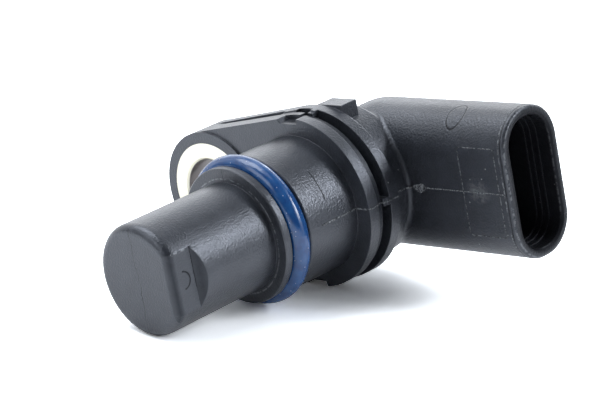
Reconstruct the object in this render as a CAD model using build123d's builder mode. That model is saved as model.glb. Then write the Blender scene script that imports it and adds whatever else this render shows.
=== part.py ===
from build123d import *
import os
from math import asin, atan2, degrees, hypot

# Camshaft position sensor, in millimetres.
# Every piece is drawn about the shaft: Z runs along the shaft from the sensing tip to the plug, with
# z = 0 on the seat face that lies on the engine, and the plug points along X. The last section
# puts the origin on the middle of the tip face and turns the sensor onto its side, as it comes to
# rest on a table.

# Shaft that goes into the engine's bore
tip_radius = 7.5
tip_depth = 30.0  # seat face to tip face
tip_edge = 1.2
shank_length = 17.0  # tip face to the O-ring's collar
collar_radius = 9.3
collar_width = 1.1
groove_radius = 7.4
groove_width = 3.3
body_radius = 9.55
land_edge = 0.15

# Flat on the side of the tip, with a sloping end
flat_distance = 6.3
flat_length = 3.75

# Flange: a disc and an ear in one outline, cored from its edge between two walls
flange_front = 0.3
front_wall = 2.75
core_gap = 1.15
rear_wall = 1.75
front_disc_radius = 11.9
rear_disc_radius = 12.1
core_depth = 2.4
ear_distance = 17.6
ear_radius = 9.1
boss_proud = 0.3
rim_land = 1.7  # full-radius part of the front wall's rim
rim_step = 0.4
rim_step_start = 0.5
web_width = 1.0
bridge_middles = (-3.0, 1.3)  # webs across the core at the ear's root
bridge_widths = (2.6, 0.8)
notch_mouth = (-2.7, 1.4)
notch_floor = (-1.8, 1.2)
notch_distance = 11.1

# Screw bushing, a plain steel sleeve
bushing_radius = 7.5
bushing_bore = 5.1
bushing_edge = 0.3

# Elbow and plug
neck_radius = 10.8
neck_top = 11.0
neck_edge = 0.3
elbow_middle = 3.5  # middle of the half turn that ends the plug behind the shaft
plug_height = 15.0  # seat face to the plug's middle line
plug_thickness = 11.0
plug_width = 20.4
plug_round = 5.1
plug_reach = 28.2
crease_round = 0.7  # where the neck runs into the plug's underside
mouth_edge = 0.5

# Socket in the plug, stepping inward from the mouth to its floor, with two coding ribs
mouth_width = 17.8
mouth_thickness = 8.2
mouth_inner_edge = 0.3
socket_step = 0.2
socket_floor = 12.6
socket_ends = (26.0, 25.1, 24.3, socket_floor)
key_width = 1.2
key_height = 0.7
key_spread = 2.6
key_end = 21.0

# Lug behind the flange
lug_width = 4.4
lug_top = 12.1
lug_root = 9.0
lug_length = 3.0

# O-ring
ring_section = 2.9

# Electrical pieces inside, all sealed in by the moulding
die_wall = 1.2  # plastic in front of the sensor chip
chip_length = 4.4
chip_width = 5.2
chip_thickness = 1.6
chip_edge = 0.25
lead_thickness = 0.4
lead_width = 0.7
magnet_side = 5.0
magnet_thickness = 4.0
magnet_edge = 0.3
carrier_width = 8.2
carrier_back = 3.6
carrier_top = -6.0
carrier_edge = 1.6
strip_thickness = 0.6
strip_width = 1.2
shaft_pitch = 2.2
plug_pitch = 4.2
strip_face = 3.2  # distance of the strips' inner face from the shaft axis
strip_foot = -22.0
strip_bend = 1.0  # inner radius where a strip turns into the plug
jog_start = 1.0
jog_end = 7.0
weld_length = 3.6
blade_length = 8.0
blade_taper = 0.8  # length of the bevels at the blade's end
blade_bevel = 0.18
divider_width = 0.6
divider_length = 3.0
divider_height = -15.5
capacitor_length = 3.2
capacitor_width = 1.6
capacitor_thickness = 1.2
capacitor_edge = 0.15

# Lengths that follow from those
groove_front = -tip_depth + shank_length + collar_width
groove_back = groove_front + groove_width
front_wall_back = flange_front + front_wall
rear_wall_front = front_wall_back + core_gap
flange_back = rear_wall_front + rear_wall
bushing_length = flange_back + boss_proud
chip_front = -tip_depth + die_wall
chip_back = chip_front + chip_thickness
lead_middle = (chip_front + chip_back) / 2
lead_line = strip_face - lead_thickness / 2
lead_top = strip_foot + weld_length
strip_line = strip_face + strip_thickness / 2
strip_back = strip_face + strip_thickness

os.makedirs("parts", exist_ok=True)


def flange_outline(disc_radius, inset=0):
    """Draws the disc, the ear and their tangents in the sketch that is open."""
    Circle(disc_radius - inset)
    with Locations((-ear_distance, 0)):
        Circle(ear_radius - inset)
    make_hull()


def slab(width, thickness):
    """Draws the plug's section in the sketch that is open, a slab with rounded ends."""
    corner = plug_round - (plug_thickness - thickness) / 2
    with Locations((0, plug_height)):
        RectangleRounded(width, thickness, corner)


# Bushing: the sleeve that the fixing screw is tightened against
with BuildPart() as bushing:
    with BuildSketch(Plane.XY):
        with Locations((-ear_distance, 0)):
            Circle(bushing_radius)
            Circle(bushing_bore, mode=Mode.SUBTRACT)
    extrude(amount=bushing_length)
    circles = bushing.edges().filter_by(GeomType.CIRCLE)
    chamfer(circles.filter_by(lambda e: e.radius < bushing_radius), bushing_edge)

# O-ring, lying in the groove between collar and body
with BuildPart() as o_ring:
    with BuildSketch(Plane.XZ):
        with Locations((groove_radius + ring_section / 2, (groove_front + groove_back) / 2)):
            Circle(ring_section / 2)
    revolve(axis=Axis.Z)

# Sensor chip: a moulded package behind the tip face, with three leads turned up beside the magnet
with BuildPart() as hall_ic:
    with BuildSketch(Plane.XY.offset(chip_front)):
        Rectangle(chip_length, chip_width)
    extrude(amount=chip_thickness)
    chamfer(hall_ic.edges().filter_by(Axis.Z), chip_edge)
    for row in (-1, 0, 1):
        with BuildSketch(Plane.XZ.offset(-row * shaft_pitch)):
            with BuildLine():
                FilletPolyline(
                    (chip_length / 2 - chip_edge, lead_middle),
                    (lead_line, lead_middle),
                    (lead_line, lead_top),
                    radius=lead_thickness,
                )
            trace(line_width=lead_thickness)
        extrude(amount=lead_width / 2, both=True)

# Magnet: a block that sits right behind the chip
with BuildPart() as magnet:
    with BuildSketch(Plane.XY.offset(chip_back)):
        Rectangle(magnet_side, magnet_side)
    extrude(amount=magnet_thickness)
    chamfer(magnet.edges().filter_by(Axis.Z), magnet_edge)


def contact_strip(row):
    """One terminal: up the shaft, out to its place in the plug, and a blade into the socket."""
    foot_y = row * shaft_pitch
    blade_y = row * plug_pitch
    bend_foot = plug_height - strip_thickness / 2 - strip_bend
    with BuildPart() as strip:
        # Upright run with the jog that spreads the strips
        with BuildSketch(Plane.YZ.offset(strip_face)):
            with BuildLine():
                Polyline(
                    (foot_y, strip_foot),
                    (foot_y, jog_start),
                    (blade_y, jog_end),
                    (blade_y, bend_foot),
                )
            trace(line_width=strip_width)
        extrude(amount=strip_thickness)
        # Quarter bend and blade, drawn from the side
        with BuildSketch(Plane.XZ.offset(-blade_y)):
            with BuildLine():
                FilletPolyline(
                    (strip_line, bend_foot),
                    (strip_line, plug_height),
                    (socket_floor + blade_length, plug_height),
                    radius=strip_bend + strip_thickness / 2,
                )
            trace(line_width=strip_thickness)
        extrude(amount=strip_width / 2, both=True)
        nose = strip.faces().sort_by(Axis.X)[-1]
        chamfer(nose.edges().filter_by(Axis.Y), blade_bevel, blade_taper, reference=nose)
    return strip


terminal_supply = contact_strip(-1)
terminal_ground = contact_strip(0)
terminal_signal = contact_strip(1)


def chip_capacitor(side, height):
    """A capacitor lying across the ground strip and the strip on the given side of it."""
    with BuildPart() as capacitor:
        with BuildSketch(Plane.YZ.offset(strip_back)):
            with Locations((side * shaft_pitch / 2, height)):
                Rectangle(capacitor_length, capacitor_width)
        extrude(amount=capacitor_thickness)
        chamfer(capacitor.faces().sort_by(Axis.X)[-1].edges(), capacitor_edge)
    return capacitor


capacitor_supply = chip_capacitor(-1, -12.0)
capacitor_signal = chip_capacitor(1, -9.0)

# Carrier: the inner moulding that holds chip, magnet and strips while the housing is moulded
with BuildPart() as carrier:
    with BuildSketch(Plane.XZ):
        with BuildLine():
            Polyline(
                (-carrier_back, chip_back),
                (strip_face - lead_thickness, chip_back),
                (strip_face - lead_thickness, lead_top),
                (strip_face, lead_top),
                (strip_face, carrier_top),
                (-carrier_back, carrier_top),
                close=True,
            )
        make_face()
    extrude(amount=carrier_width / 2, both=True)
    chamfer(carrier.edges().filter_by(Axis.Z).group_by(Axis.X)[0], carrier_edge)
    with BuildSketch(Plane.YZ.offset(strip_face)):
        for side in (-1, 1):
            with Locations((side * shaft_pitch / 2, divider_height)):
                Rectangle(divider_width, divider_length)
    extrude(amount=strip_thickness)
    add(magnet.part, mode=Mode.SUBTRACT)

sealed_pieces = (
    hall_ic,
    magnet,
    carrier,
    terminal_supply,
    terminal_ground,
    terminal_signal,
    capacitor_supply,
    capacitor_signal,
)

# Housing: one moulding round everything, from the tip to the plug
with BuildPart() as housing:
    # Shaft: tip, collar, O-ring groove and body
    with BuildSketch(Plane.XZ):
        with BuildLine():
            Polyline(
                (0, -tip_depth),
                (tip_radius, -tip_depth),
                (tip_radius, -tip_depth + shank_length),
                (collar_radius - land_edge, -tip_depth + shank_length),
                (collar_radius, -tip_depth + shank_length + land_edge),
                (collar_radius, groove_front),
                (groove_radius, groove_front),
                (groove_radius, groove_back),
                (body_radius - land_edge, groove_back),
                (body_radius, groove_back + land_edge),
                (body_radius, front_wall_back),
                (0, front_wall_back),
                close=True,
            )
        make_face()
    revolve(axis=Axis.Z)

    # Flat on the tip, then the rounded edge all round the tip face
    with BuildSketch(Plane.XZ):
        with BuildLine():
            Polyline(
                (flat_distance, -tip_depth - 1),
                (flat_distance, -tip_depth + flat_length),
                (flat_distance + 2, -tip_depth + flat_length + 2),
                (flat_distance + 2, -tip_depth - 1),
                close=True,
            )
        make_face()
    extrude(amount=tip_radius, both=True, mode=Mode.SUBTRACT)
    fillet(housing.edges().group_by(Axis.Z)[0], tip_edge)

    # Flange walls, the rear one a little larger
    with BuildSketch(Plane.XY.offset(flange_front)):
        flange_outline(front_disc_radius)
    extrude(amount=front_wall + core_gap / 2)
    with BuildSketch(Plane.XY.offset(front_wall_back + core_gap / 2)):
        flange_outline(rear_disc_radius)
    extrude(amount=core_gap / 2 + rear_wall)

    # Core between the walls, left solid round the bushing and at the webs
    with BuildSketch(Plane.XY.offset(front_wall_back)):
        flange_outline(rear_disc_radius, inset=-1)
        with BuildSketch(mode=Mode.SUBTRACT):
            flange_outline(front_disc_radius, inset=core_depth)
            with Locations((-ear_distance, 0)):
                Circle(ear_radius)
        with Locations((rear_disc_radius, 0)):
            Rectangle(2 * core_depth, web_width, mode=Mode.SUBTRACT)
        for middle, width in zip(bridge_middles, bridge_widths):
            with Locations((middle, rear_disc_radius), (middle, -rear_disc_radius)):
                Rectangle(width, 2 * core_depth, mode=Mode.SUBTRACT)
    extrude(amount=core_gap, mode=Mode.SUBTRACT)

    # Stepped rim of the front wall, on the plug's side of the disc
    with BuildSketch(Plane.XY.offset(flange_front + rim_land)):
        Circle(rear_disc_radius)
        Circle(front_disc_radius - rim_step, mode=Mode.SUBTRACT)
        with Locations((rim_step_start - rear_disc_radius, 0)):
            Rectangle(2 * rear_disc_radius, 4 * rear_disc_radius, mode=Mode.SUBTRACT)
    extrude(amount=front_wall - rim_land, mode=Mode.SUBTRACT)

    # Shallow notches in the front wall's edge where ear and disc meet
    with BuildSketch(Plane.XY.offset(flange_front)):
        with BuildLine():
            Polyline(
                (notch_mouth[0], rear_disc_radius),
                (notch_floor[0], notch_distance),
                (notch_floor[1], notch_distance),
                (notch_mouth[1], rear_disc_radius),
                close=True,
            )
        make_face()
        mirror(about=Plane.XZ)
    extrude(amount=rim_land, mode=Mode.SUBTRACT)

    # Neck, elbow and plug: a rounded slab that ends in a half turn behind the shaft's axis
    with BuildSketch(Plane.XY.offset(flange_back)):
        Circle(neck_radius)
    extrude(amount=neck_top - flange_back)
    fillet(housing.faces().sort_by(Axis.Z)[-1].edges(), neck_edge)
    with BuildSketch(Plane.YZ.offset(elbow_middle)):
        slab(plug_width, plug_thickness)
    extrude(amount=plug_reach - elbow_middle)
    with BuildSketch(Plane.YZ.offset(elbow_middle)):
        slab(plug_width, plug_thickness)
        with Locations((-plug_width / 2, plug_height)):
            Rectangle(plug_width, 2 * plug_thickness, mode=Mode.SUBTRACT)
    revolve(axis=Axis((elbow_middle, 0, 0), (0, 0, 1)), revolution_arc=180)

    # Rounded crease under the plug, from one side of the neck to the other
    plug_bottom = plug_height - plug_thickness / 2
    corners = housing.edges().filter_by_position(Axis.Z, plug_bottom, neck_top)
    crease = [e for e in corners if abs(hypot(e.center().X, e.center().Y) - neck_radius) < neck_edge]
    fillet(crease, crease_round)

    # Lug behind the flange
    with BuildSketch(Plane.XY.offset(flange_back)):
        with Locations((lug_width / 2, -(lug_top + lug_root) / 2)):
            Rectangle(lug_width, lug_top - lug_root)
    extrude(amount=lug_length)

    # Raised faces round the bushing, and its bore
    with BuildSketch(Plane.XY):
        with Locations((-ear_distance, 0)):
            Circle(ear_radius)
    extrude(amount=bushing_length)
    with BuildSketch(Plane.XY):
        with Locations((-ear_distance, 0)):
            Circle(bushing_radius)
    extrude(amount=bushing_length, mode=Mode.SUBTRACT)

    # Rounded rim of the plug
    fillet(housing.faces().sort_by(Axis.X)[-1].edges(), mouth_edge)

    # Socket, with the coding ribs on the side away from the flange
    for step, end in enumerate(socket_ends):
        with BuildSketch(Plane.YZ.offset(end)):
            slab(mouth_width - 2 * step * socket_step, mouth_thickness - 2 * step * socket_step)
        extrude(amount=plug_reach - end, mode=Mode.SUBTRACT)
    chamfer(housing.faces().sort_by(Axis.X)[-1].inner_wires().edges(), mouth_inner_edge)
    with BuildSketch(Plane.YZ.offset(socket_floor)):
        for side in (-1, 1):
            with Locations((side * key_spread, plug_height + mouth_thickness / 2)):
                Rectangle(key_width, 2 * key_height + 6 * socket_step)
    extrude(amount=key_end - socket_floor)

    for piece in sealed_pieces:
        add(piece.part, mode=Mode.SUBTRACT)

# The sensor lies on the tip's edge, the flange's rim and the ear. Roll is the turn about the shaft
# that puts disc and ear on the table, lean is the shaft's rise from the tip to the flange.
roll = degrees(asin((front_disc_radius - ear_radius) / ear_distance))
rise = front_disc_radius - (tip_radius - tip_edge)
run = flange_front + tip_depth - tip_edge
lean = degrees(atan2(rise, run) - asin(tip_edge / hypot(rise, run)))
at_rest = Location((0, 0, 0), (lean - 90, 0, -roll)) * Location((0, 0, tip_depth))

pieces = {
    "housing": housing,
    "bushing": bushing,
    "o_ring": o_ring,
    "carrier": carrier,
    "hall_ic": hall_ic,
    "magnet": magnet,
    "terminal_supply": terminal_supply,
    "terminal_ground": terminal_ground,
    "terminal_signal": terminal_signal,
    "capacitor_supply": capacitor_supply,
    "capacitor_signal": capacitor_signal,
}
for name, piece in pieces.items():
    piece.part.move(at_rest)
    piece.part.label = name
    export_step(piece.part, f"parts/{name}.step")
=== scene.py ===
import math

import bmesh
import bpy
from mathutils import Matrix, Vector


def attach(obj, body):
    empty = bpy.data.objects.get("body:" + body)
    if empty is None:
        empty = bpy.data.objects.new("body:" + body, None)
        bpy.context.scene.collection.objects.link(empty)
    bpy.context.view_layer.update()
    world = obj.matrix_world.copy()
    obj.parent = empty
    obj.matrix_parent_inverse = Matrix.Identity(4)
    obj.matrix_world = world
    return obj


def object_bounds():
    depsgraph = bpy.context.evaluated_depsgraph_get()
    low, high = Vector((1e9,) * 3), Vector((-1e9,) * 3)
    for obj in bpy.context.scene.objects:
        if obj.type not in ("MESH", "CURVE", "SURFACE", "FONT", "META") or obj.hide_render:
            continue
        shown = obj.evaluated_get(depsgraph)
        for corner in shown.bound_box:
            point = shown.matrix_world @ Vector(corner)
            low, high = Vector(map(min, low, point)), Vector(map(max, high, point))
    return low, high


# A camshaft position sensor lying on a white table. New pieces are modelled in the sensor's own
# drawing, in metres written as millimetres times MM, and laid on the table at the end.
MM = 0.001

# The drawing's axes: Z along the shaft with zero on the seat face, the plug along X, and Y across.
# ROLL is the turn about the shaft and LEAN the rise of the shaft, as the sensor lies on the table.
ROLL = math.radians(9.1541)
LEAN = math.radians(8.5721)
TIP_DEPTH = 30.0
AT_REST = (
    Matrix.Rotation(LEAN - math.pi / 2, 4, "X")
    @ Matrix.Rotation(-ROLL, 4, "Z")
    @ Matrix.Translation((0, 0, TIP_DEPTH * MM))
)

# Sizes of the shaft and its flange, in millimetres as all sizes of the drawing are
TIP_RADIUS = 7.5
FLAT_DISTANCE = 6.3
RAMP_START = -26.25
RAMP_END = -24.5
COLLAR_FACE = -13.0
BODY_RADIUS = 9.55
FLANGE_FRONT = 0.3
RIM_RADIUS = 11.9
RIM_LAND_BACK = 2.0
RIM_STEP_RADIUS = 11.5
RIM_BACK = 3.05
REAR_RIM_RADIUS = 12.1
REAR_RIM_FRONT = 3.625
REAR_RIM_BACK = 5.95
NECK_RADIUS = 10.8
CREASE = 0.7
BUSHING_DISTANCE = 17.6

# Sizes of the plug. ROUND_ACROSS and ROUND_UP go from its middle to the middles of its roundings.
PLUG_HEIGHT = 15.0
PLUG_BOTTOM = 9.5
PLUG_TOP = 20.5
PLUG_ROUND = 5.1
ROUND_ACROSS = 5.1
ROUND_UP = 0.4
PLUG_REACH = 28.2
LIP_LINE = 27.2
MOUTH_HALF_WIDTH = 8.9
MOUTH_HALF_HEIGHT = 4.1

# Flash: where it starts, how wide and thick it is, and how far its points are out of line. The one
# round the lip is sunk into it a little.
BODY_FLASH_START = -6.3
BODY_FLASH_WIDTH = 0.2
PLUG_FLASH_START = 13.6
PLUG_FLASH_MIDDLE = 20.0
PLUG_FLASH_WIDTH = 0.12
STRIP_THICKNESS = 0.13
STRIP_RAGGED = 0.025
LIP_FLASH_SINK = 0.06
LIP_FLASH_WIDTH = 0.18
LIP_FLASH_THICKNESS = 0.14
LIP_FLASH_RAGGED = 0.04

# Edge of the mould's insert under the plug
PANEL_MIDDLE = 23.4
PANEL_BELOW = 1.1
PANEL_SIZE = (6.2, 12.2, 1)
PANEL_ROUND = 0.5
PANEL_LINE = 0.1
PANEL_STEP = 0.07
PANEL_RAGGED = 0.02

# Stub of the runner under the plug. Its side below GATE_SIDE is drawn out into the foot, and its
# broken end lies below GATE_END.
GATE_PLACE = (13.1, 0, 9.3)
GATE_RADIUS = 0.55
GATE_DEPTH = 0.5
GATE_SIDE = 12.8
GATE_FOOT = (-1.0, 0, 0.12)
GATE_FOOT_MIDDLE = (12.0, 0, 9.6)
GATE_FOOT_SCALE = (1, 0.6, 0.6)
GATE_END = 9.1
GATE_RAGGED = 0.16
GATE_BEVEL = 0.06

# A place this near a corner, in millimetres, is that corner
AT_CORNER = 0.01

# The photograph's camera: a long lens, about 0.28 m from the tip
LENS = 133.38
NEAREST = 0.01
FARTHEST = 20
CAMERA_PLACE = (0.193509, -0.179468, 0.090394)
CAMERA_TURN = (73.3059, -1.9354, 43.452)

# How bright the paper's colour is to the camera, to glossy rays and to all others, how much its
# shadow is lifted, and between which distances in millimetres it turns plain white
CAMERA_WHITE = 2.2
MIRRORED_WHITE = 1.2
PAPER_WHITE = 0.88
CAMERA_LIFT = 0.03
LIFT_START = 120.0
LIFT_END = 350.0
FLOOR_SIZE = 6

# The sheet behind the sensor, in metres, and the degrees round that it covers
SHEET_RADIUS = 1.5
SHEET_HEIGHT = 1.2
SHEET_FROM = 105
SHEET_TO = 195

# Lamps: name, azimuth and elevation in degrees, width and height in metres, and watts
LAMP_DISTANCE = 0.8
LAMP_AIM = (0, 0.02, 0.005)
LAMP_COLOUR = (0.9, 0.945, 1.0)
LAMPS = (
    ("softbox_key_top", 54, 49, (0.16, 0.16), 0.45),
    ("softbox_key", 40, 39, (0.16, 0.16), 1.3),
    ("softbox_key_low", 31, 31, (0.16, 0.16), 1.2),
    ("softbox_right", 22, 24, (0.2, 0.2), 0.9),
    ("softbox_right_low", 25, 10, (0.4, 0.2), 0.3),
    ("strip_back_low", 134, 17, (0.9, 0.25), 1.2),
    ("strip_back", 130, 32, (1.2, 0.3), 0.6),
    ("softbox_back", 105, 25, (0.4, 0.3), 1.4),
    ("softbox_back_top", 110, 56, (0.6, 0.3), 0.45),
    ("softbox_back_left", 150, 50, (0.4, 0.4), 0.35),
    ("softbox_left_front", 255, 30, (0.5, 0.4), 1.55),
    ("softbox_left", 210, 35, (0.5, 0.5), 0.8),
    ("softbox_left_low", 200, 12, (0.5, 0.2), 0.19),
    ("softbox_top_left", 200, 62, (0.5, 0.5), 3.5),
    ("softbox_top", 225, 78, (0.5, 0.5), 1.0),
    ("softbox_front", 320, 50, (0.4, 0.4), 0.1),
)
WORLD_LIGHT = 0.03


def linear(hex_code):
    """Turns an sRGB hex colour into the linear RGBA that Blender's sockets take."""
    channels = [int(hex_code[i : i + 2], 16) / 255 for i in (1, 3, 5)]
    return [c / 12.92 if c <= 0.04045 else ((c + 0.055) / 1.055) ** 2.4 for c in channels] + [1.0]


def add_node(tree, kind, settings=None, inputs=None):
    """Adds a node, sets its properties, and fills or links its inputs by name or number."""
    node = tree.nodes.new(kind)
    for name, value in (settings or {}).items():
        setattr(node, name, value)
    for name, value in (inputs or {}).items():
        socket = node.inputs[name]
        if isinstance(value, bpy.types.NodeSocket):
            tree.links.new(value, socket)
        else:
            socket.default_value = value
    return node


def new_material(name, **shader_values):
    """Starts a material, and gives its node tree, its shader and the drawing's place in millimetres."""
    material = bpy.data.materials.new(name)
    material.use_nodes = True
    tree = material.node_tree
    shader = tree.nodes["Principled BSDF"]
    for socket, value in shader_values.items():
        shader.inputs[socket.replace("_", " ")].default_value = value
    to_drawing = {
        "Vector": add_node(tree, "ShaderNodeTexCoord").outputs["Object"],
        "Location": (0, 0, -TIP_DEPTH),
        "Rotation": (math.pi / 2 - LEAN, 0, ROLL),
        "Scale": (1 / MM, 1 / MM, 1 / MM),
    }
    place = add_node(tree, "ShaderNodeMapping", None, to_drawing).outputs["Vector"]
    return material, tree, shader, place


def joined(tree, operation, masks):
    """One mask from several: MAXIMUM where any of them is strong, or MULTIPLY where all are."""
    total = masks[0]
    for mask in masks[1:]:
        total = add_node(tree, "ShaderNodeMath", {"operation": operation}, {0: total, 1: mask}).outputs[0]
    return total


def coated(tree, base, coats):
    """A colour with others laid over it in turn, each where its mask is strong."""
    for mask, hex_code in coats:
        mix = {"Factor": mask, 6: base, 7: linear(hex_code)}
        base = add_node(tree, "ShaderNodeMix", {"data_type": "RGBA"}, mix).outputs[2]
    return base


def mottled(tree, place, scale, detail, colours, positions=(0.0, 1.0)):
    """A colour that drifts between two others in patches, about as many per millimetre as its scale."""
    noise = add_node(tree, "ShaderNodeTexNoise", None, {"Vector": place, "Scale": scale, "Detail": detail})
    ramp = add_node(tree, "ShaderNodeValToRGB", None, {"Fac": noise.outputs["Fac"]})
    for element, position, hex_code in zip(ramp.color_ramp.elements, positions, colours):
        element.position = position
        element.color = linear(hex_code)
    return ramp.outputs["Color"]


def specks(tree, place, scale, core, edge, strength):
    """Round specks, about as many per millimetre as their scale, from a solid core to a soft edge."""
    cells = add_node(tree, "ShaderNodeTexVoronoi", None, {"Vector": place, "Scale": scale})
    fade = {
        "Value": cells.outputs["Distance"],
        "From Min": core,
        "From Max": edge,
        "To Min": strength,
        "To Max": 0.0,
    }
    return add_node(tree, "ShaderNodeMapRange", None, fade).outputs["Result"]


def vary_roughness(tree, shader, pattern, smooth, rough, low=0.0, high=1.0):
    """Lets the roughness follow a pattern, between two values."""
    spread = {"Value": pattern, "From Min": low, "From Max": high, "To Min": smooth, "To Max": rough}
    roughness = add_node(tree, "ShaderNodeMapRange", None, spread)
    tree.links.new(roughness.outputs["Result"], shader.inputs["Roughness"])


def drawn_line(tree, value, middle, width, *limits):
    """A soft line where a value is at its middle, kept to where others lie between two limits."""
    offset = add_node(tree, "ShaderNodeMath", {"operation": "SUBTRACT"}, {0: value, 1: middle})
    away = add_node(tree, "ShaderNodeMath", {"operation": "ABSOLUTE"}, {0: offset.outputs[0]})
    fade = {"Value": away.outputs[0], "From Max": width / 2, "To Min": 1.0, "To Max": 0.0}
    masks = [add_node(tree, "ShaderNodeMapRange", None, fade).outputs["Result"]]
    for limited, low, high in limits:
        span = {0: limited, 1: (low + high) / 2, 2: (high - low) / 2}
        masks.append(add_node(tree, "ShaderNodeMath", {"operation": "COMPARE"}, span).outputs[0])
    return joined(tree, "MULTIPLY", masks)


def oval_distance(tree, place, centre, turn, radii):
    """How far a place is from an oval's middle along its face. It is 1 on the oval itself."""
    through = 1000.0
    onto_face = {"Vector": place, "Location": centre, "Rotation": turn, "Scale": (*radii, through)}
    flat = add_node(tree, "ShaderNodeMapping", {"vector_type": "TEXTURE"}, onto_face)
    length = add_node(tree, "ShaderNodeVectorMath", {"operation": "LENGTH"}, {0: flat.outputs[0]})
    return length.outputs["Value"]


def mouth_distance(tree, y, z):
    """How far a place on the plug lies outside the socket's oval outline."""
    straight = MOUTH_HALF_WIDTH - MOUTH_HALF_HEIGHT
    across = add_node(tree, "ShaderNodeMath", {"operation": "ABSOLUTE"}, {0: y})
    past = add_node(tree, "ShaderNodeMath", {"operation": "SUBTRACT"}, {0: across.outputs[0], 1: straight})
    beside = add_node(tree, "ShaderNodeMath", {"operation": "MAXIMUM"}, {0: past.outputs[0], 1: 0.0})
    above = add_node(tree, "ShaderNodeMath", {"operation": "SUBTRACT"}, {0: z, 1: PLUG_HEIGHT})
    flat = add_node(tree, "ShaderNodeCombineXYZ", None, {0: beside.outputs[0], 1: above.outputs[0]})
    length = add_node(tree, "ShaderNodeVectorMath", {"operation": "LENGTH"}, {0: flat.outputs[0]})
    outside = {0: length.outputs["Value"], 1: MOUTH_HALF_HEIGHT}
    return add_node(tree, "ShaderNodeMath", {"operation": "SUBTRACT"}, outside).outputs[0]


def mould_marks(tree, place):
    """Pale lines where the mould closed and painted highlights, grooves with painted shade, and duller
    places.
    """
    x, y, z = add_node(tree, "ShaderNodeSeparateXYZ", None, {0: place}).outputs
    across_shaft = add_node(tree, "ShaderNodeCombineXYZ", None, {0: x, 1: y}).outputs[0]
    length = add_node(tree, "ShaderNodeVectorMath", {"operation": "LENGTH"}, {0: across_shaft})
    radius = length.outputs["Value"]
    mouth = mouth_distance(tree, y, z)
    on_collar = (z, COLLAR_FACE - 0.05, COLLAR_FACE + 0.05)
    on_flat = (x, FLAT_DISTANCE - 0.1, FLAT_DISTANCE + 0.1)
    on_mouth = (x, PLUG_REACH - 0.45, PLUG_REACH + 0.1)
    # The weld on the tip face wanders a little
    noise = {"Vector": place, "Scale": 0.35, "Detail": 3.0}
    wander = add_node(tree, "ShaderNodeTexNoise", None, noise).outputs["Fac"]
    bent = {0: wander, 1: 1.6, 2: x}
    weld = add_node(tree, "ShaderNodeMath", {"operation": "MULTIPLY_ADD"}, bent).outputs[0]
    # The ejector pins pressed on the plug's rounding and on the tip's flat
    plug_pin_turn = (math.radians(120), 0, 0)
    plug_pin = oval_distance(tree, place, (18.9, -ROUND_ACROSS, 14.6), plug_pin_turn, (1.3, 2.07))
    tip_pin = oval_distance(tree, place, (FLAT_DISTANCE, -0.2, -28.15), (0, math.pi / 2, 0), (1.15, 1.15))

    # Each mark: what it follows, at which value, how wide, and the limits that it keeps to
    pale = (
        # Painted highlight at the foot of the tip on the collar
        (radius, TIP_RADIUS + 0.42, 0.3, on_collar),
        # Step of a mould insert on the lip
        (y, 5.9, 0.16, (z, 19.0, PLUG_TOP), on_mouth),
        # Burr along the flat's upper edge, with a painted highlight on it
        (y, -3.95, 0.5, (z, -29.3, -26.9), (x, FLAT_DISTANCE - 0.1, FLAT_DISTANCE + 0.4)),
        # Painted highlights along the outer and inner edges of the mouth
        (mouth, 1.2, 0.35, on_mouth),
        (mouth, 0.05, 0.2, on_mouth),
    )
    # Grooves, pressed in by the bump and painted dark as the shade that falls in them
    dark = (
        # Weld on the collar
        (x, 0.0, 0.16, on_collar, (y, -9.4, -TIP_RADIUS)),
        # Weld on the tip face
        (weld, 0.8, 0.12, (z, -TIP_DEPTH - 0.1, -TIP_DEPTH + 0.3)),
        # Foot of the flat's ramp
        (z, RAMP_START, 0.14, on_flat, (y, -4.1, 1.4)),
        # Knit line on the body
        (z, -4.5, 0.16, (x, 6.9, 9.2), (y, -6.6, -2.9)),
        # Groove behind the mouth's lip
        (x, LIP_LINE + 0.38, 0.26, (mouth, 1.0, 3.0)),
        # Rings of the ejector pins, the one on the flat pressed in and painted with shade on one side only
        (plug_pin, 1.0, 0.26, (y, -10.4, -6.0)),
        (tip_pin, 1.0, 0.3, on_flat, (z, -28.1, -26.0)),
    )
    dull = (
        # Ramp of the tip's flat, and the rounded edge before it
        (z, RAMP_START + 0.6, 4.0, (z, RAMP_START, RAMP_END), (radius, 0.0, TIP_RADIUS - 0.06)),
        (z, 0.5 - TIP_DEPTH, 1.3, (x, 5.3, FLAT_DISTANCE + 0.05)),
        # Step behind the front rim's land
        (radius, RIM_STEP_RADIUS, 1.6, (z, RIM_LAND_BACK, RIM_BACK + 0.05)),
    )
    pale_lines_and_painted_highlights, grooves, dull_places = [
        [drawn_line(tree, *mark) for mark in marks] for marks in (pale, dark, dull)
    ]
    # The crease under the plug is dull too, on its lower part only
    crease = drawn_line(tree, radius, NECK_RADIUS + CREASE / 2, 1.8, (z, 8.6, 9.56))
    below = add_node(tree, "ShaderNodeMapRange", None, {"Value": y, "From Min": -6.0, "From Max": -2.0})
    dull_places.append(joined(tree, "MULTIPLY", (crease, below.outputs["Result"])))
    return [joined(tree, "MAXIMUM", masks) for masks in (pale_lines_and_painted_highlights, grooves, dull_places)]


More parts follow.
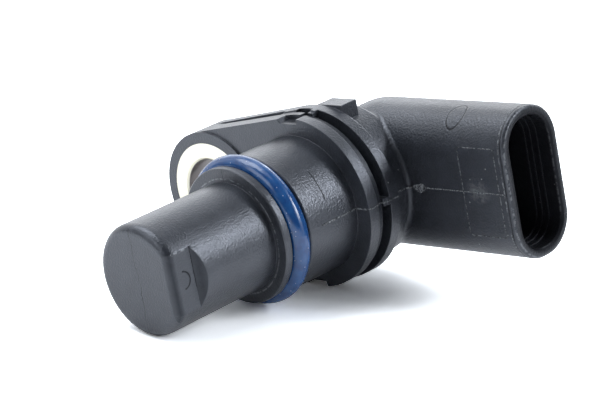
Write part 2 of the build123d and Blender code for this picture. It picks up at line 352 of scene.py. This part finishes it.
def scuff_mask(tree, place):
    """Light scuffs on the plug's near flat side, in a round patch."""
    from_middle = oval_distance(tree, place, (22.9, -0.2, PLUG_BOTTOM), (0, 0, 0.3), (2.2, 2.0))
    fade = {"Value": from_middle, "From Min": 0.1, "From Max": 1.0, "To Min": 1.0, "To Max": 0.0}
    patch = add_node(tree, "ShaderNodeMapRange", None, fade).outputs["Result"]
    noise = {"Vector": place, "Scale": 1.1, "Detail": 6.0, "Roughness": 0.75}
    rubbing = add_node(tree, "ShaderNodeTexNoise", None, noise).outputs["Fac"]
    rubs = {"Value": rubbing, "From Min": 0.42, "From Max": 0.66}
    rubbed = add_node(tree, "ShaderNodeMapRange", None, rubs).outputs["Result"]
    height = add_node(tree, "ShaderNodeSeparateXYZ", None, {0: place}).outputs["Z"]
    near_half = {0: height, 1: PLUG_HEIGHT}
    near_side = add_node(tree, "ShaderNodeMath", {"operation": "LESS_THAN"}, near_half).outputs[0]
    return joined(tree, "MULTIPLY", (patch, near_side, rubbed))


def socket_shade_mask(tree, place):
    """Painted shade and lower shine in the socket: all of it inside, and about a quarter on its outside."""
    x, y, z = add_node(tree, "ShaderNodeSeparateXYZ", None, {0: place}).outputs
    outside = mouth_distance(tree, y, z)
    wall = {"Value": outside, "From Min": 0.5, "From Max": 1.7, "To Min": 1.0, "To Max": 0.0}
    near_core = add_node(tree, "ShaderNodeMapRange", None, wall).outputs["Result"]
    # It sets in slowly along the elbow, so that no edge shows outside
    along = {"Value": x, "From Min": 8.0, "From Max": 17.0}
    on_plug = add_node(tree, "ShaderNodeMapRange", {"interpolation_type": "SMOOTHSTEP"}, along)
    return joined(tree, "MULTIPLY", (near_core, on_plug.outputs["Result"]))


def nylon_relief(tree, place, grooves):
    """The moulding's surface: rounded edges, the mould's grain, and its grooves pressed in."""
    rounded = add_node(tree, "ShaderNodeBevel", {"samples": 6}, {"Radius": 0.15 * MM})
    # Eroded grain of the mould, drawn 0.3 mm wide, coarser than the real 0.1 mm, so that it shows
    grain = add_node(tree, "ShaderNodeTexNoise", None, {"Vector": place, "Scale": 3.6, "Detail": 3.0})
    eroded = {
        "Height": grain.outputs["Fac"],
        "Strength": 0.9,
        "Distance": 0.08 * MM,
        "Normal": rounded.outputs[0],
    }
    bump = add_node(tree, "ShaderNodeBump", None, eroded)
    pressed = {"Height": grooves, "Strength": 1.0, "Distance": 0.03 * MM, "Normal": bump.outputs[0]}
    return add_node(tree, "ShaderNodeBump", {"invert": True}, pressed).outputs["Normal"]


def glass_filled_nylon():
    """Injection-moulded black nylon with glass fibre: dull and a little grey, with a fine sparkle."""
    material, tree, shader, place = new_material("glass_filled_nylon", Specular_Tint=linear("#f0f4ff"))
    pale_lines_and_painted_highlights, grooves, dull_places = mould_marks(tree, place)
    socket_shade = socket_shade_mask(tree, place)
    # Skin of the moulding, mottled over about 2 mm where fibres lie near the surface
    skin = mottled(tree, place, 0.5, 4.0, ("#25272c", "#2f3238"), (0.3, 0.75))
    # Specks of dust, one in a few millimetres
    dust = specks(tree, place, 0.4, 0.03, 0.05, 0.8)
    # The pale lines and painted highlights come and go about every half millimetre, and the scuffs are as
    # pale
    patchy = add_node(tree, "ShaderNodeTexNoise", None, {"Vector": place, "Scale": 2.2, "Detail": 3.0})
    gaps = {"Value": patchy.outputs["Fac"], "From Min": 0.42, "From Max": 0.56}
    torn = add_node(tree, "ShaderNodeMapRange", None, gaps).outputs["Result"]
    broken_lines_and_painted_highlights = joined(tree, "MULTIPLY", (pale_lines_and_painted_highlights, torn))
    scuffs_and_painted_highlights = joined(tree, "MAXIMUM", (scuff_mask(tree, place), broken_lines_and_painted_highlights))
    # The socket and the mouth's rim are painted darker, as painted shade, and less hazy than the outside
    coats = (
        (dust, "#a9abae"),
        # Scuffs and pale lines, with painted highlights along edges
        (joined(tree, "MULTIPLY", (scuffs_and_painted_highlights, 0.8)), "#94979b"),
        # Grooves painted near black, as painted shade in them
        (grooves, "#0c0c0e"),
        (joined(tree, "MULTIPLY", (socket_shade, 0.75)), "#1b1b1e"),
    )
    tree.links.new(coated(tree, skin, coats), shader.inputs["Base Color"])
    half_dull = joined(tree, "MULTIPLY", (dull_places, 0.7))
    dull = joined(tree, "MAXIMUM", (socket_shade, grooves, half_dull))
    shine = add_node(tree, "ShaderNodeMapRange", None, {"Value": dull, "To Min": 1.0, "To Max": 0.1})
    tree.links.new(shine.outputs["Result"], shader.inputs["Specular IOR Level"])
    # Faint streaks round the shaft, about 1 mm long, where the mould was turned and polished
    stretched = add_node(tree, "ShaderNodeMapping", None, {"Vector": place, "Scale": (0.9, 0.9, 1.6)})
    turned = {"Vector": stretched.outputs[0], "Scale": 1.0, "Detail": 5.0}
    streaks = add_node(tree, "ShaderNodeTexNoise", None, turned).outputs["Fac"]
    vary_roughness(tree, shader, streaks, 0.28, 0.35, 0.3, 0.7)
    tree.links.new(nylon_relief(tree, place, grooves), shader.inputs["Normal"])
    return material


def torn_nylon():
    """The same nylon where it was squeezed thin or torn off, which leaves it paler and rougher."""
    material, tree, shader, place = new_material("torn_nylon", Specular_IOR_Level=0.6, Roughness=0.6)
    colour = mottled(tree, place, 3.5, 3.0, ("#313338", "#85888c"), (0.42, 0.6))
    tree.links.new(colour, shader.inputs["Base Color"])
    return material


def blue_silicone():
    """Compression-moulded silicone rubber, smooth and glossy, with a faint bloom and lint on it."""
    material, tree, shader, place = new_material("blue_silicone", Specular_IOR_Level=0.75)
    bloom = mottled(tree, place, 0.7, 5.0, ("#16427a", "#24568f"), (0.35, 0.7))
    lint = specks(tree, place, 1.5, 0.08, 0.12, 0.7)
    tree.links.new(coated(tree, bloom, [(lint, "#b9cbe6")]), shader.inputs["Base Color"])
    # Shallow ripples of the rubber, about 1 mm, break up the highlight
    ripple = add_node(tree, "ShaderNodeTexNoise", None, {"Vector": place, "Scale": 1.2, "Detail": 3.0})
    height = ripple.outputs["Fac"]
    vary_roughness(tree, shader, height, 0.15, 0.26)
    bump = add_node(tree, "ShaderNodeBump", None, {"Height": height, "Strength": 0.6, "Distance": 0.05 * MM})
    tree.links.new(bump.outputs["Normal"], shader.inputs["Normal"])
    return material


def turned_steel():
    """Turned and plated steel, pale and warm, with fine tool marks round the bore."""
    material, tree, shader, place = new_material("turned_steel", Metallic=1.0)
    from_middle = {0: place, 1: (BUSHING_DISTANCE, 0, 0)}
    centred = add_node(tree, "ShaderNodeVectorMath", {"operation": "ADD"}, from_middle).outputs[0]
    level = add_node(tree, "ShaderNodeVectorMath", {"operation": "MULTIPLY"}, {0: centred, 1: (1, 1, 0)})
    radius = add_node(tree, "ShaderNodeVectorMath", {"operation": "LENGTH"}, {0: level.outputs[0]})
    # The bore is painted darker than the faces, as painted shade in it
    edge = {"Value": radius.outputs["Value"], "From Min": 5.12, "From Max": 5.2}
    face = add_node(tree, "ShaderNodeMapRange", None, edge).outputs["Result"]
    colour = add_node(tree, "ShaderNodeValToRGB", None, {"Fac": face})
    colour.color_ramp.elements[0].color = linear("#6c6766")
    colour.color_ramp.elements[1].color = linear("#f6f1de")
    tree.links.new(colour.outputs["Color"], shader.inputs["Base Color"])
    # Tool marks 0.2 mm apart run round the sleeve's middle
    rings = add_node(
        tree,
        "ShaderNodeTexWave",
        {"wave_type": "RINGS", "rings_direction": "Z"},
        {"Vector": centred, "Scale": 1.6, "Distortion": 1.5, "Detail": 2.0},
    )
    cut = rings.outputs["Fac"]
    vary_roughness(tree, shader, cut, 0.3, 0.46)
    bump = add_node(tree, "ShaderNodeBump", None, {"Height": cut, "Strength": 0.25, "Distance": 0.01 * MM})
    tree.links.new(bump.outputs["Normal"], shader.inputs["Normal"])
    return material


def tinned_brass():
    """Stamped brass with a dull tin plating."""
    material, tree, shader, place = new_material("tinned_brass", Base_Color=linear("#b9b5aa"), Metallic=1.0)
    grain = add_node(tree, "ShaderNodeTexNoise", None, {"Vector": place, "Scale": 3.0, "Detail": 2.0})
    vary_roughness(tree, shader, grain.outputs["Fac"], 0.35, 0.5)
    return material


def sealed_piece(name, dark, light, roughness, metallic=0.0):
    """A finish for a piece sealed inside the housing, mottled between two colours."""
    material, tree, shader, place = new_material(name, Roughness=roughness, Metallic=metallic)
    tree.links.new(mottled(tree, place, 1.5, 2.0, (dark, light)), shader.inputs["Base Color"])
    return material


def give(nodes, names, material):
    """Puts a material on CAD nodes."""
    for name in names:
        nodes[name].data.materials.clear()
        nodes[name].data.materials.append(material)


def to_table(piece):
    """Turns a piece from the drawing to where the sensor lies."""
    piece.matrix_world = AT_REST @ piece.matrix_world
    bpy.context.view_layer.update()


def lay_down(piece, name, material):
    """Puts a piece's place in its mesh, and gives it its name, its material and its body."""
    piece.name = name
    piece.data.transform(piece.matrix_world)
    piece.matrix_world = Matrix.Identity(4)
    piece.data.materials.append(material)
    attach(piece, "root")
    piece.select_set(False)


def apply_modifier(piece, kind, **settings):
    """Adds a modifier with its settings and applies it."""
    modifier = piece.modifiers.new(kind.lower(), kind)
    for name, value in settings.items():
        setattr(modifier, name, value)
    bpy.ops.object.modifier_apply(modifier=modifier.name)


def select_where(piece, wanted):
    """Selects, in edit mode, the vertices whose place in millimetres is wanted."""
    shape = bmesh.from_edit_mesh(piece.data)
    bpy.ops.mesh.select_all(action="DESELECT")
    for vertex in shape.verts:
        vertex.select = wanted(vertex.co / MM)
    shape.select_flush(True)
    bmesh.update_edit_mesh(piece.data)


def make_ragged(cuts, offset, seed):
    """Cuts all of a piece finer and moves its points a little out of line, in edit mode."""
    bpy.ops.mesh.select_all(action="SELECT")
    bpy.ops.mesh.subdivide(number_cuts=cuts)
    bpy.ops.transform.vertex_random(offset=offset * MM, seed=seed)


def flash_strip(name, path, width, material):
    """A thin ragged ridge of flash that follows a path of (x, z) points in the parting plane."""
    bpy.ops.mesh.primitive_plane_add(size=width * MM)
    strip = bpy.context.object
    bpy.ops.object.mode_set(mode="EDIT")
    shape = bmesh.from_edit_mesh(strip.data)
    for vertex in shape.verts:
        x, z = path[0] if vertex.co.x < 0 else path[1]
        vertex.co = (x * MM, vertex.co.y, z * MM)
    bmesh.update_edit_mesh(strip.data)
    for (x, z), (next_x, next_z) in zip(path[1:], path[2:]):
        select_where(strip, lambda at: math.hypot(at.x - x, at.z - z) < AT_CORNER)
        step = ((next_x - x) * MM, 0, (next_z - z) * MM)
        bpy.ops.mesh.extrude_edges_move(TRANSFORM_OT_translate={"value": step})
    make_ragged(6, STRIP_RAGGED, seed=4)
    bpy.ops.object.mode_set(mode="OBJECT")
    apply_modifier(strip, "SOLIDIFY", thickness=STRIP_THICKNESS * MM, offset=0.0)
    to_table(strip)
    lay_down(strip, name, material)


def add_parting_flash(material):
    """Flash along the parting plane: up the body, over the rims, up the neck and along the plug."""
    over_body = (
        (BODY_RADIUS, BODY_FLASH_START),
        (BODY_RADIUS, FLANGE_FRONT),
        (RIM_RADIUS, FLANGE_FRONT),
        (RIM_RADIUS, RIM_LAND_BACK),
        (RIM_STEP_RADIUS, RIM_LAND_BACK),
        (RIM_STEP_RADIUS, RIM_BACK),
        (RIM_RADIUS, RIM_BACK),
        (RIM_RADIUS, REAR_RIM_FRONT),
        (REAR_RIM_RADIUS, REAR_RIM_FRONT),
        (REAR_RIM_RADIUS, REAR_RIM_BACK),
        (NECK_RADIUS, REAR_RIM_BACK),
        (NECK_RADIUS, PLUG_BOTTOM - CREASE),
        (NECK_RADIUS + CREASE, PLUG_BOTTOM),
    )
    under_plug = [(x, PLUG_BOTTOM) for x in (PLUG_FLASH_START, PLUG_FLASH_MIDDLE, LIP_LINE)]
    flash_strip("flash_body", over_body, BODY_FLASH_WIDTH, material)
    flash_strip("flash_plug", under_plug, PLUG_FLASH_WIDTH, material)


def add_lip_flash(material):
    """Flash round the lip, where the socket's core closed on the plug."""
    bpy.ops.mesh.primitive_circle_add(
        vertices=64,
        radius=(PLUG_ROUND - LIP_FLASH_SINK) * MM,
        location=(LIP_LINE * MM, 0, PLUG_HEIGHT * MM),
        rotation=(0, math.pi / 2, 0),
    )
    lip = bpy.context.object
    bpy.ops.object.transform_apply()
    bpy.ops.object.mode_set(mode="EDIT")
    for side in (-1, 1):
        select_where(lip, lambda at: at.y * side > AT_CORNER)
        bpy.ops.transform.translate(value=(0, side * ROUND_ACROSS * MM, 0))
        select_where(lip, lambda at: (at.z - PLUG_HEIGHT) * side > AT_CORNER)
        bpy.ops.transform.translate(value=(0, 0, side * ROUND_UP * MM))
    bpy.ops.mesh.select_all(action="SELECT")
    bpy.ops.mesh.extrude_edges_move(TRANSFORM_OT_translate={"value": (LIP_FLASH_WIDTH * MM, 0, 0)})
    make_ragged(3, LIP_FLASH_RAGGED, seed=7)
    bpy.ops.object.mode_set(mode="OBJECT")
    apply_modifier(lip, "SOLIDIFY", thickness=LIP_FLASH_THICKNESS * MM, offset=0.0)
    to_table(lip)
    lay_down(lip, "flash_lip", material)


def add_insert_edge(housing, material):
    """Edge of the mould's insert, a fine step round a plain panel under the plug."""
    start = (PANEL_MIDDLE * MM, 0, (PLUG_BOTTOM - PANEL_BELOW) * MM)
    bpy.ops.mesh.primitive_plane_add(size=MM, location=start)
    panel = bpy.context.object
    bpy.ops.object.mode_set(mode="EDIT")
    bpy.ops.transform.resize(value=PANEL_SIZE)
    bpy.ops.mesh.bevel(offset=PANEL_ROUND * MM, segments=4, affect="VERTICES")
    bpy.ops.mesh.select_all(action="SELECT")
    bpy.ops.mesh.inset(thickness=PANEL_LINE * MM)
    bpy.ops.mesh.delete(type="FACE")
    make_ragged(16, PANEL_RAGGED, seed=2)
    bpy.ops.object.mode_set(mode="OBJECT")
    to_table(panel)
    apply_modifier(panel, "SHRINKWRAP", target=housing, wrap_method="PROJECT", use_project_z=True)
    apply_modifier(panel, "SOLIDIFY", thickness=PANEL_STEP * MM, offset=0.0)
    lay_down(panel, "insert_edge", material)


def add_gate_mark(material):
    """Gate mark under the plug: the stub of the runner, broken off, with its foot towards the neck."""
    bpy.ops.mesh.primitive_cylinder_add(
        vertices=20,
        radius=GATE_RADIUS * MM,
        depth=GATE_DEPTH * MM,
        location=[at * MM for at in GATE_PLACE],
    )
    stub = bpy.context.object
    bpy.ops.object.transform_apply()
    bpy.ops.object.mode_set(mode="EDIT")
    select_where(stub, lambda at: at.x < GATE_SIDE)
    foot = [way * MM for way in GATE_FOOT]
    foot_middle = [at * MM for at in GATE_FOOT_MIDDLE]
    bpy.ops.mesh.extrude_region_move(TRANSFORM_OT_translate={"value": foot})
    bpy.ops.transform.resize(value=GATE_FOOT_SCALE, center_override=foot_middle)
    bpy.ops.mesh.select_all(action="SELECT")
    bpy.ops.mesh.subdivide(number_cuts=2, smoothness=0.4)
    # Only its broken end is ragged
    select_where(stub, lambda at: at.z < GATE_END)
    bpy.ops.transform.vertex_random(offset=GATE_RAGGED * MM, seed=5)
    bpy.ops.object.mode_set(mode="OBJECT")
    apply_modifier(stub, "BEVEL", width=GATE_BEVEL * MM, segments=2)
    to_table(stub)
    lay_down(stub, "gate_mark", material)


def add_camera():
    """The photograph's camera."""
    lens = bpy.data.cameras.new("camera")
    lens.lens = LENS
    lens.clip_start = NEAREST
    lens.clip_end = FARTHEST
    camera = bpy.data.objects.new("camera", lens)
    camera.location = CAMERA_PLACE
    camera.rotation_euler = [math.radians(turn) for turn in CAMERA_TURN]
    bpy.context.collection.objects.link(camera)
    bpy.context.scene.camera = camera


def add_paper(level):
    """White paper under the sensor, plain white to the camera, with a soft shadow."""
    material, tree, shader, place = new_material("white_paper")
    path = add_node(tree, "ShaderNodeLightPath")
    # Bright enough to the camera to come out white right up to the shadow, as overexposed paper does
    mirrored = {"Value": path.outputs["Is Glossy Ray"], "To Min": PAPER_WHITE, "To Max": MIRRORED_WHITE}
    lit = add_node(tree, "ShaderNodeMapRange", None, mirrored).outputs["Result"]
    seen = {"Value": path.outputs["Is Camera Ray"], "To Min": lit, "To Max": CAMERA_WHITE}
    white = add_node(tree, "ShaderNodeMapRange", None, seen).outputs["Result"]
    sheet = add_node(tree, "ShaderNodeBsdfDiffuse", None, {"Color": white})
    # Beyond the lamps' reach it is plain white to the camera
    away = add_node(tree, "ShaderNodeVectorMath", {"operation": "LENGTH"}, {0: place}).outputs["Value"]
    reach = {
        "Value": away,
        "From Min": LIFT_START,
        "From Max": LIFT_END,
        "To Min": CAMERA_LIFT,
        "To Max": 1.0,
    }
    far_white = add_node(tree, "ShaderNodeMapRange", None, reach).outputs["Result"]
    lift = joined(tree, "MULTIPLY", (path.outputs["Is Camera Ray"], far_white))
    glow = add_node(tree, "ShaderNodeEmission", None, {"Strength": lift})
    both = add_node(tree, "ShaderNodeAddShader", None, {0: sheet.outputs[0], 1: glow.outputs[0]})
    tree.links.new(both.outputs[0], tree.nodes["Material Output"].inputs["Surface"])
    tree.nodes.remove(shader)
    bpy.ops.mesh.primitive_plane_add(size=FLOOR_SIZE, location=(0, 0, level))
    floor = bpy.context.object
    floor.name = "table_top"
    floor.data.materials.append(material)


def add_backdrop(level):
    """A curved white sheet behind the sensor, which its upper sides mirror at a low angle."""
    material, tree, shader, _ = new_material("lit_backdrop")
    rays = add_node(tree, "ShaderNodeLightPath").outputs
    seen_by = [rays[kind] for kind in ("Is Glossy Ray", "Is Transmission Ray", "Is Camera Ray")]
    seen = joined(tree, "MAXIMUM", seen_by)
    glow = add_node(tree, "ShaderNodeEmission", None, {"Strength": seen})
    tree.links.new(glow.outputs[0], tree.nodes["Material Output"].inputs["Surface"])
    tree.nodes.remove(shader)
    bpy.ops.mesh.primitive_cylinder_add(
        vertices=48,
        radius=SHEET_RADIUS,
        depth=SHEET_HEIGHT,
        end_fill_type="NOTHING",
        location=(0, 0, SHEET_HEIGHT / 2 + level),
    )
    sheet = bpy.context.object
    sheet.name = "backdrop"
    bpy.ops.object.transform_apply()
    bpy.ops.object.mode_set(mode="EDIT")
    # Only the part behind the sensor stays
    shape = bmesh.from_edit_mesh(sheet.data)
    bpy.ops.mesh.select_all(action="DESELECT")
    for face in shape.faces:
        middle = face.calc_center_median()
        degrees_round = math.degrees(math.atan2(middle.y, middle.x)) % 360
        face.select = not SHEET_FROM < degrees_round < SHEET_TO
    bmesh.update_edit_mesh(sheet.data)
    bpy.ops.mesh.delete(type="FACE")
    bpy.ops.object.mode_set(mode="OBJECT")
    sheet.data.materials.append(material)


def add_lamp(name, azimuth, elevation, size, power):
    """An area lamp that shines at the sensor, placed by its direction in degrees."""
    lamp = bpy.data.lights.new(name, "AREA")
    lamp.shape = "RECTANGLE"
    lamp.size, lamp.size_y = size
    lamp.energy = power
    lamp.color = LAMP_COLOUR
    holder = bpy.data.objects.new(name, lamp)
    turn, rise = math.radians(azimuth), math.radians(elevation)
    flat = math.cos(rise)
    direction = Vector((flat * math.cos(turn), flat * math.sin(turn), math.sin(rise)))
    holder.location = Vector(LAMP_AIM) + direction * LAMP_DISTANCE
    holder.rotation_mode = "QUATERNION"
    holder.rotation_quaternion = direction.to_track_quat("Z", "Y")
    bpy.context.collection.objects.link(holder)


def add_world():
    """White all round for the camera, and almost dark for everything else."""
    world = bpy.data.worlds.new("studio")
    bpy.context.scene.world = world
    world.use_nodes = True
    tree = world.node_tree
    sky = tree.nodes["Background"]
    rays = add_node(tree, "ShaderNodeLightPath").outputs
    seen = joined(tree, "MAXIMUM", (rays["Is Camera Ray"], rays["Is Transmission Ray"]))
    light = {"Value": seen, "To Min": WORLD_LIGHT, "To Max": 1.0}
    strength = add_node(tree, "ShaderNodeMapRange", None, light)
    sky.inputs["Color"].default_value = linear("#ffffff")
    tree.links.new(strength.outputs["Result"], sky.inputs["Strength"])


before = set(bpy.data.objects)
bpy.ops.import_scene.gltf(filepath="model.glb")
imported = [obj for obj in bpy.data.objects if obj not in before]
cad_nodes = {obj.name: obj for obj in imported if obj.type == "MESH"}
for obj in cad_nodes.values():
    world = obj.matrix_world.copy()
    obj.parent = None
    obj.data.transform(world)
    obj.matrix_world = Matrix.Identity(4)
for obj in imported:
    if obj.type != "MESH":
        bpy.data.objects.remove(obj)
cad_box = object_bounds()
bpy.ops.object.select_all(action="DESELECT")

give(cad_nodes, ["housing"], glass_filled_nylon())
give(cad_nodes, ["o_ring"], blue_silicone())
give(cad_nodes, ["bushing"], turned_steel())
give(cad_nodes, ["terminal_supply", "terminal_ground", "terminal_signal"], tinned_brass())
give(cad_nodes, ["carrier"], sealed_piece("carrier_polyester", "#1c1c1d", "#262627", 0.55))
give(cad_nodes, ["hall_ic"], sealed_piece("moulded_epoxy", "#141416", "#1d1d20", 0.4))
give(cad_nodes, ["magnet"], sealed_piece("sintered_magnet", "#5c5c60", "#74747a", 0.45, metallic=1.0))
ceramic = sealed_piece("fired_ceramic", "#6d5238", "#8a6c4c", 0.5)
give(cad_nodes, ["capacitor_supply", "capacitor_signal"], ceramic)

torn_edge = torn_nylon()
add_parting_flash(torn_edge)
add_lip_flash(torn_edge)
add_insert_edge(cad_nodes["housing"], torn_edge)
add_gate_mark(torn_edge)

floor_level = cad_box[0].z
add_camera()
add_paper(floor_level)
add_backdrop(floor_level)
add_world()
for lamp_settings in LAMPS:
    add_lamp(*lamp_settings)

bpy.context.scene.view_settings.view_transform = "Standard"
